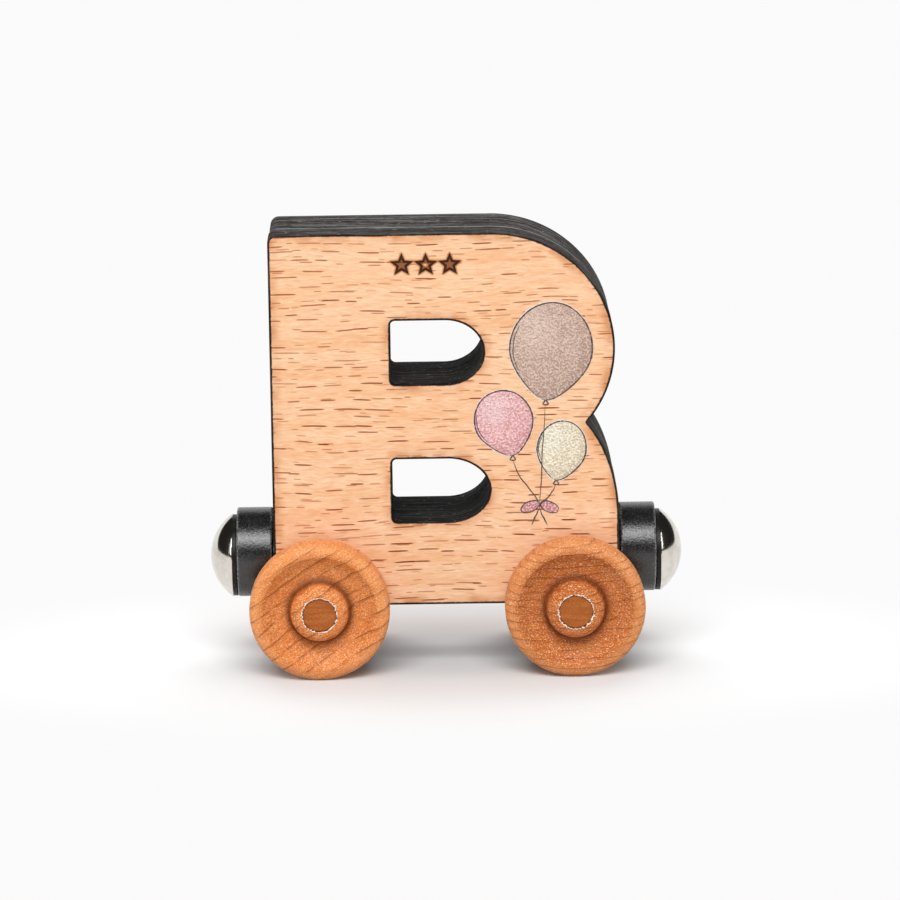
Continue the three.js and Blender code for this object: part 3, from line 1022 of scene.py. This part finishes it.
def pores(m, along, across, cell, half, seed, share):
    """Spindle-shaped pores, one to a cell of a stretched Voronoi pattern: the offset from the cell's
    point, divided by the pore's half length and half height, is short inside it, with the first squared
    for blunt ends. The cell's random colour varies length and depth and leaves some cells empty. Gives
    the pore's warm halo and its dark core."""
    at = m.node("CombineXYZ", {
        0: m.scaled(along, 1 / cell[0], seed),
        1: m.scaled(across, 1 / cell[1], 0.37 * seed),
    })
    pattern = {"Vector": at, "Scale": 1.0, "Randomness": 0.9}
    cells = m.node("TexVoronoi", pattern, out=None, voronoi_dimensions="2D")
    long_chance, empty_chance, deep_chance = m.node("SeparateColor", {0: cells["Color"]}, out=None)
    gap = m.node("VectorMath", {0: at, 1: cells["Position"]}, operation="SUBTRACT")
    off_along, off_across, _ = m.split(gap)
    length = m.scaled(long_chance, 0.75 * half[0], 0.45 * half[0])
    x = m.sums("DIVIDE", m.times(off_along, cell[0]), length)
    y = m.times(off_across, cell[1] / half[1])
    reach = m.span(m.times(x, x), y)
    there = m.sums("LESS_THAN", empty_chance, share)
    depth = m.times(there, m.scaled(deep_chance, 0.75, 0.25))
    halo = m.times(m.fade(reach, 1.3, 0.85), depth)
    core = m.times(m.fade(reach, 1.02, 0.78), depth)
    return halo, core


# Finishes

def beech_face():
    """Oiled beech with pore flecks and soft streaks along the letter, a charred line and heat tint by each
    laser cut, and burnt engraving."""
    m = Finish("beech_face")
    x, y, z = m.split(m.mm)
    cut = m.layer("cut_distance")
    mark = m.layer("mark_distance")

    warp = m.sums("SUBTRACT", m.long_noise(m.mm, (30, 40, 20)), 0.5)
    row = m.sums("ADD", m.scaled(warp, 3.0, z), m.times(y, 3.7))
    grain = m.node("CombineXYZ", {0: x, 1: y, 2: row})
    broad = m.long_noise(grain, (40, 60, 3.4), 3.0, 0.55)
    ripple = m.sums("SUBTRACT", m.long_noise(m.mm, (2.6, 40, 2.2), 1.0), 0.5)
    wavy = m.node("CombineXYZ", {0: x, 1: y, 2: m.scaled(ripple, 0.9, row)})
    fine = m.long_noise(wavy, (2.8, 60, 0.36), 3.0, 0.65)
    m.colour = m.blend(m.fade(broad, 0.32, 0.75), (0.93, 0.61, 0.385), (0.875, 0.485, 0.265))
    m.coat(m.fade(fine, 0.42, 0.72, 0.0, 0.5), (0.78, 0.34, 0.14))
    m.coat(m.fade(fine, 0.46, 0.3, 0.0, 0.55), (0.96, 0.70, 0.49))

    low_down = m.fade(z, 72.0, 18.0, 0.76, 1.0)
    long_halo, long_core = pores(m, x, row, (5.4, 1.5), (2.2, 0.125), 3.1, 0.62)
    short_halo, short_core = pores(m, x, row, (4.1, 1.3), (1.15, 0.095), 11.7, 0.55)
    m.coat(m.times(short_halo, 0.6), (0.66, 0.21, 0.07))
    m.coat(m.times(short_core, 0.6), (0.36, 0.075, 0.02))
    m.coat(m.times(long_halo, low_down), (0.62, 0.17, 0.05))
    m.coat(m.times(long_core, low_down), (0.21, 0.03, 0.006))

    patch = m.fade(m.noise(m.mm, 0.2), 0.36, 0.7, 0.12, 0.8)
    smoke = m.times(m.fade(cut, 2.5, 0.25), patch)
    m.coat(smoke, (0.56, 0.19, 0.05))
    rough_line = m.scaled(m.noise(m.mm, 1.6), 0.22, -0.11)
    char = m.fade(m.sums("ADD", cut, rough_line), 0.5, 0.32)
    m.coat(char, (0.016, 0.012, 0.011))

    scorch = m.fade(mark, 0.42, 0.02, 0.0, 0.8)
    m.coat(scorch, (0.45, 0.13, 0.025))
    burnt = m.blend(m.noise(m.mm, 2.2), (0.04, 0.012, 0.006), (0.10, 0.034, 0.012))
    m.coat(m.fade(mark, 0.06, -0.05), burnt)
    relief = m.scaled(long_core, -1.0, m.times(fine, 0.35))
    return m.done(m.scaled(fine, 0.16, 0.46), relief, 0.06, specular=0.15)


def charred_edge():
    """Soot of the laser-cut edges: fine streaks along the edge, which vary fast through the letter and
    slowly along it, grey with dark patches on the outline's edge and black on the openings' edges, pale
    specks, and a pale glue line at the front ply's back, shown on the outline's edge."""
    m = Finish("charred_edge")
    _, y, _ = m.split(m.mm)
    rubbed = m.layer("rubbed")
    streak = m.long_noise(m.mm, (13, 0.6, 13), 4.0, 0.68)
    mottle = m.noise(m.mm, 0.5, 3.0)
    speck = m.long_noise(m.mm, (1.2, 0.5, 1.2))
    dark = (0.016, 0.0155, 0.015)
    black = m.blend(m.fade(streak, 0.42, 0.74), (0.005, 0.0047, 0.0046), (0.075, 0.071, 0.068))
    grey = m.blend(m.fade(streak, 0.4, 0.66), (0.012, 0.0115, 0.011), (0.155, 0.149, 0.141))
    grey = m.blend(m.fade(mottle, 0.36, 0.5, 0.55, 0.0), grey, dark)
    grey = m.blend(m.fade(y, -0.9 * PLY, -0.5 * PLY, 0.45, 0.0), grey, dark)
    # Grey on the outline's edge, black on the edges of the counters and bores
    m.colour = m.blend(rubbed, black, grey)
    m.coat(m.fade(speck, 0.64, 0.75, 0.0, 0.6), (0.33, 0.30, 0.27))
    joint = m.sums("ABSOLUTE", m.sums("ADD", y, 0.5 * PLY))
    worn = m.fade(m.long_noise(m.mm, (3.4, 9, 3.4), 3.0), 0.36, 0.6, 0.25, 0.9)
    glue_line = m.times(m.fade(joint, 0.62, 0.3), worn)
    m.coat(m.times(glue_line, rubbed), (0.36, 0.335, 0.30))
    relief = m.sums("ADD", streak, mottle)
    return m.done(m.scaled(streak, 0.2, 0.6), relief, 0.07, specular=0.03)


def oiled_wheel(name, lean, curve, shift, ring, tone, strength, pale):
    """Oiled turned wood: growth lines as a saw wave across the grain, ring apart, which leans by an angle
    and bends a little, a fine stipple of pale and dark pores, whose pale specks are partly painted sparkle
    of the oil's sheen, a painted highlight on the rim, and oil with painted shade in the groove."""
    m = Finish(name)
    turn = (0.0, math.radians(lean), 0.0)
    turned = m.node("Mapping", {"Vector": m.mm, "Location": shift, "Rotation": turn})
    along, _, up = m.split(turned)
    bent = m.scaled(m.times(along, along), curve, up)
    sway = m.sums("SUBTRACT", m.long_noise(turned, (14, 7, 4)), 0.5)
    year = m.sums("FRACT", m.sums("DIVIDE", m.scaled(sway, 2.2, bent), ring))
    late = m.sums("POWER", year, 10.0)
    faint = m.long_noise(turned, (3.0, 9.0, 3.0), shift=(7.0, 0.0, 0.0))
    line = m.times(late, m.fade(faint, 0.36, 0.6, 0.15 * strength, strength))
    fibre = m.long_noise(turned, (2.2, 2.2, 0.3), 3.0, 0.6)
    cloud = m.noise(m.mm, 0.14)
    grit = m.noise(m.mm, 3.6, 2.0, 0.7)
    pale_fleck_and_sparkle = m.long_noise(turned, (0.3, 0.7, 0.13), 1.0)

    light, middle, dark = (np.array(WHEEL_SHADES) * tone).tolist()
    m.colour = m.blend(m.fade(cloud, 0.3, 0.7), light, middle)
    m.coat(m.fade(fibre, 0.36, 0.7, 0.0, 0.7), dark)
    m.coat(m.fade(grit, 0.36, 0.52, 0.7, 0.0), [0.5 * c for c in middle])
    # Pale pores, which are partly painted sparkle of the oil's sheen
    m.coat(m.fade(pale_fleck_and_sparkle, 0.56, 0.7, 0.0, 0.9), (0.98, 0.62, 0.36))
    # Painted highlight on the rim, as strong as pale says
    m.coat(m.times(m.layer("rim"), pale), (0.98, 0.46, 0.19))
    m.coat(line, (0.21, 0.038, 0.006))
    # Oil in the groove together with painted shade of the hollow
    m.coat(m.times(m.layer("groove"), 0.95), (0.12, 0.024, 0.003))
    relief = m.sums("ADD", pale_fleck_and_sparkle, m.times(line, -0.8))
    return m.done(m.scaled(grit, 0.22, 0.34), relief, 0.04, specular=0.13)


def oiled_dowel():
    """Oiled dowel: brown end grain with fine dark and light pores and faint growth lines."""
    m = Finish("oiled_dowel")
    pore = m.long_noise(m.mm, (0.3, 6.0, 0.3), 2.0, 0.6)
    year = m.long_noise(m.mm, (6.0, 20.0, 0.8))
    m.colour = m.blend(m.fade(year, 0.35, 0.65), (0.50, 0.155, 0.036), (0.40, 0.11, 0.022))
    m.coat(m.fade(pore, 0.4, 0.7, 0.0, 0.55), (0.25, 0.06, 0.012))
    m.coat(m.fade(pore, 0.4, 0.25, 0.0, 0.5), (0.62, 0.24, 0.07))
    return m.done(m.scaled(pore, 0.2, 0.5), pore, 0.05, specular=0.15)


def glue_fibre():
    """Pale dried glue with torn wood fibre in it."""
    m = Finish("glue_fibre")
    torn = m.noise(m.mm, 2.4, 3.0, 0.7)
    m.colour = m.blend(m.fade(torn, 0.46, 0.7), (0.90, 0.82, 0.73), (0.62, 0.32, 0.16))
    return m.done(m.scaled(torn, 0.3, 0.5), torn, 0.08)


def satin_ferrite():
    """Dark ferrite ground to a satin: fine pits and scuffs, paler at the edges, partly from wear and
    partly as a painted highlight where the broken edges catch the light.
    """
    m = Finish("satin_ferrite")
    pit = m.noise(m.mm, 2.2, 3.0, 0.75)
    speck = m.noise(m.mm, 4.2, 2.0, 0.6)
    scuff = m.long_noise(m.mm, (3.0, 1.2, 1.2), 3.0)
    m.colour = m.blend(m.fade(scuff, 0.35, 0.7), (0.007, 0.007, 0.0075), (0.013, 0.013, 0.0135))
    m.coat(m.fade(speck, 0.57, 0.7, 0.0, 0.7), (0.085, 0.083, 0.082))
    # Pale edges: wear together with a painted highlight of the broken edges
    rubbed = m.times(m.layer("worn"), m.fade(pit, 0.4, 0.62, 0.1, 0.9))
    m.coat(rubbed, (0.26, 0.255, 0.25))
    relief = m.sums("ADD", pit, m.times(speck, 0.6))
    return m.done(m.scaled(pit, 0.3, 0.1), relief, 0.05, specular=0.85)


def polished_nickel():
    """Nickel plate with a faint warm tone, hazed a little by handling, with hair-fine scratches."""
    m = Finish("polished_nickel")
    haze = m.noise(m.mm, 0.5, 3.0)
    hair = m.long_noise(m.mm, (0.2, 3.0, 0.25))
    m.colour = m.blend(m.fade(haze, 0.35, 0.7), (0.72, 0.685, 0.625), (0.61, 0.575, 0.51))
    return m.done(m.scaled(haze, 0.12, 0.06), hair, 0.004, metallic=1.0)


def painted_shade_band():
    """Near-black painted shade on the caps' bands, where the gap under each cap's rim lies in shadow."""
    m = Finish("painted_shade_band")
    smear = m.noise(m.mm, 1.4, 3.0)
    m.colour = m.blend(m.fade(smear, 0.4, 0.7), (0.006, 0.0058, 0.0056), (0.016, 0.0145, 0.013))
    return m.done(m.scaled(smear, 0.2, 0.3), specular=0.25)


def plain_steel():
    """Bright drawn steel of the nails and backing discs."""
    m = Finish("plain_steel")
    drawn = m.long_noise(m.mm, (6.0, 0.3, 0.3))
    m.colour = m.blend(drawn, (0.30, 0.30, 0.31), (0.42, 0.42, 0.43))
    return m.done(m.scaled(drawn, 0.2, 0.25), metallic=1.0)


def stippled_ink(name, centre, half, light, middle, dark):
    """Printed ink, lit from the upper left: the shade runs with the distance from a bright spot on the
    balloon, and a dense raised stipple breaks it up."""
    m = Finish(name)
    x, _, z = m.split(m.mm)
    spot_x = centre[0] - LETTER_WIDTH / 2 - 0.35 * half[0]
    spot_z = centre[1] + LETTER_BOTTOM + 0.4 * half[1]
    dx = m.scaled(x, 1 / half[0], -spot_x / half[0])
    dz = m.scaled(z, 1 / half[1], -spot_z / half[1])
    grain = m.noise(m.mm, 3.1, 0.0)
    shade = m.scaled(m.sums("SUBTRACT", grain, 0.5), 0.5, m.span(dx, dz))
    pale = [min(1.0, 1.15 * c) for c in light]
    m.colour = m.blend(m.fade(shade, 0.1, 0.75), light, middle)
    m.coat(m.fade(shade, 0.95, 1.65, 0.0, 0.85), dark)
    m.coat(m.fade(grain, 0.48, 0.68, 0.0, 0.65), pale)
    m.coat(m.fade(grain, 0.48, 0.3, 0.0, 0.42), dark)
    return m.done(0.55, grain, 0.3)


def pen_ink():
    """Charcoal pen line, uneven in tone."""
    m = Finish("pen_ink")
    grain = m.noise(m.mm, 2.2, 3.0, 0.7)
    m.colour = m.blend(m.fade(grain, 0.4, 0.7), (0.035, 0.028, 0.03), (0.17, 0.12, 0.115))
    return m.done(0.6)


def pale_underbase():
    """Off-white ink under the colours, thin enough at its edge to take on the wood's tone."""
    m = Finish("pale_underbase")
    grain = m.noise(m.mm, 3.0, 2.0, 0.7)
    m.colour = m.blend(m.fade(grain, 0.4, 0.66), (0.82, 0.72, 0.66), (0.80, 0.52, 0.35))
    return m.done(0.6)


# Studio

def make_floor():
    """Pale floor, a flat grid that turns from a lit white surface near the car to plain white further off,
    sooner in front and behind than to the sides."""
    line = MM * np.linspace(-FLOOR_HALF, FLOOR_HALF, FLOOR_LINES)
    x, y = (grid.ravel() for grid in np.meshgrid(line, line))
    faces = grid_faces(FLOOR_LINES, FLOOR_LINES, close_columns=False)
    mesh = bpy.data.meshes.new("studio_floor")
    mesh.from_pydata(np.column_stack([x, y, 0 * x]).tolist(), [], faces.tolist())
    floor = bpy.data.objects.new("studio_floor", mesh)
    bpy.context.scene.collection.objects.link(floor)

    m = Finish("studio_white")
    _, seen = m.seen_rays()
    m.colour = m.blend(seen, FLOOR_UNSEEN, FLOOR_SEEN)
    mesh.materials.append(m.done(0.9, specular=0.0))
    deeper = m.node("VectorMath", {0: m.mm, 1: (1.0, 2.0, 1.0)}, operation="MULTIPLY")
    away = m.node("VectorMath", {0: deeper}, out=1, operation="LENGTH")
    white = m.node("Emission", {"Color": FAR_FLOOR, "Strength": 1.0})
    share = m.times(m.fade(away, *FLOOR_FADE), seen)
    mixed = m.node("MixShader", {0: share, 1: m.shader.outputs[0], 2: white})
    m.feed(m.tree.nodes["Material Output"].inputs["Surface"], mixed)


def make_world():
    """Even grey light from all round. The camera sees white. Shiny surfaces see a white bench and a white
    sheet behind it, whose edges fall away to both sides, and a dark room above them."""
    world = bpy.data.worlds.new("studio")
    bpy.context.scene.world = world
    m = Nodes(world)
    x, y, z = m.split(m.node("TexCoord"))
    aside = m.sums("ABSOLUTE", x)
    lift = m.sums("ADD", m.fade(aside, 0.3, 0.06, 0.0, SHEET_SWELL), SHEET_RISE)
    sheet = m.sums("SUBTRACT", m.times(y, lift), m.times(aside, SHEET_FALL))
    bench = m.sums("SUBTRACT", m.times(y, BENCH_RISE), m.times(aside, BENCH_FALL))
    above = m.sums("SUBTRACT", z, m.sums("MAXIMUM", sheet, bench))
    room = m.blend(m.fade(above, 0.0, 0.05), WHITE, DARK_ROOM)
    from_camera, seen = m.seen_rays()
    lit = m.blend(seen, AMBIENT, room)
    colour = m.blend(from_camera, lit, WHITE)
    m.feed(m.tree.nodes["Background"].inputs["Color"], colour)


def soft_light(name, azimuth, elevation, distance, width, height, watts, lean=0, mirrored=True):
    """Rectangular soft light on a sphere round the car, aimed at the letter and leaning to one side, in
    degrees and metres. One that is not mirrored lights the car but doesn't show in shiny surfaces."""
    a, e = math.radians(azimuth), math.radians(elevation)
    back = Vector((math.sin(a) * math.cos(e), -math.cos(a) * math.cos(e), math.sin(e)))
    lamp = bpy.data.lights.new(name, "AREA")
    lamp.shape = "RECTANGLE"
    lamp.size = width
    lamp.size_y = height
    lamp.energy = watts
    holder = bpy.data.objects.new(name, lamp)
    holder.location = Vector(LIGHT_TARGET) * MM + distance * back
    turn = Quaternion((0.0, 0.0, 1.0), math.radians(lean))
    holder.rotation_euler = (back.to_track_quat("Z", "Y") @ turn).to_euler()
    holder.visible_glossy = mirrored
    bpy.context.scene.collection.objects.link(holder)


def make_camera():
    """Camera at the photograph's height and distance, given by its place, pitch, yaw and roll."""
    pitch, yaw, roll = CAMERA_PITCH, CAMERA_YAW, CAMERA_ROLL
    forward = Vector((math.sin(yaw) * math.cos(pitch), math.cos(yaw) * math.cos(pitch), -math.sin(pitch)))
    right = Vector((math.cos(yaw), -math.sin(yaw), 0.0))
    up = right.cross(forward)
    side = math.cos(roll) * right + math.sin(roll) * up
    top = math.cos(roll) * up - math.sin(roll) * right
    camera = bpy.data.cameras.new("camera")
    camera.sensor_width = CAMERA_SENSOR
    camera.lens = CAMERA_LENS
    holder = bpy.data.objects.new("camera", camera)
    turn = Matrix((side, top, -forward)).transposed().to_4x4()
    holder.matrix_world = Matrix.Translation(Vector(CAMERA_PLACE) * MM) @ turn
    bpy.context.scene.collection.objects.link(holder)
    bpy.context.scene.camera = holder


bpy.context.scene.view_settings.view_transform = "Standard"
make_camera()
make_world()
make_floor()
soft_light("front_softbox", azimuth=-4, elevation=48, distance=1.3, width=1.1, height=0.62, watts=15.3)
soft_light("back_softbox", azimuth=180, elevation=62, distance=0.95, width=1.1, height=0.6, watts=6.4,
           mirrored=False)
for end, side in ENDS:
    soft_light(end + "_strip", azimuth=78 * side, elevation=18, distance=0.9, width=0.09, height=0.5,
               watts=0.6, lean=-25 * side)

beech = beech_face()
soot = charred_edge()
make_ply("front_ply", -1.5 * PLY, 0.0, FRONT_CORNER, beech, soot, "front", star_loops())
make_ply("core_ply", -0.5 * PLY, CORE_STEP, BACK_CORNER, beech, soot)
make_ply("back_ply", 0.5 * PLY, BACK_STEP, BACK_CORNER, beech, soot, "back")

dowel = oiled_dowel()
glue = glue_fibre()
ferrite = satin_ferrite()
nickel = polished_nickel()
band_shade = painted_shade_band()
steel = plain_steel()
for end, side in ENDS:
    make_axle(end, side, dowel)
    for where, face in SIDES:
        wheel = f"{end}_{where}_wheel"
        make_wheel(wheel, end, side, face, oiled_wheel("oiled_" + wheel, **WHEEL_GRAIN[wheel]))
        make_glue(end, side, where, face, glue)
    make_magnet(end, side, ferrite)
    make_cap(end, side, nickel, band_shade)
    for hidden in (end + "_nail", end + "_cap_disc"):
        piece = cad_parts[hidden]
        piece.data.materials.clear()
        piece.data.materials.append(steel)

inks = {
    colour: stippled_ink("ink_" + colour, centre, half, *INKS[colour])
    for colour, centre, half, _ in BALLOONS
}
make_print(inks, pale_underbase(), pen_ink())
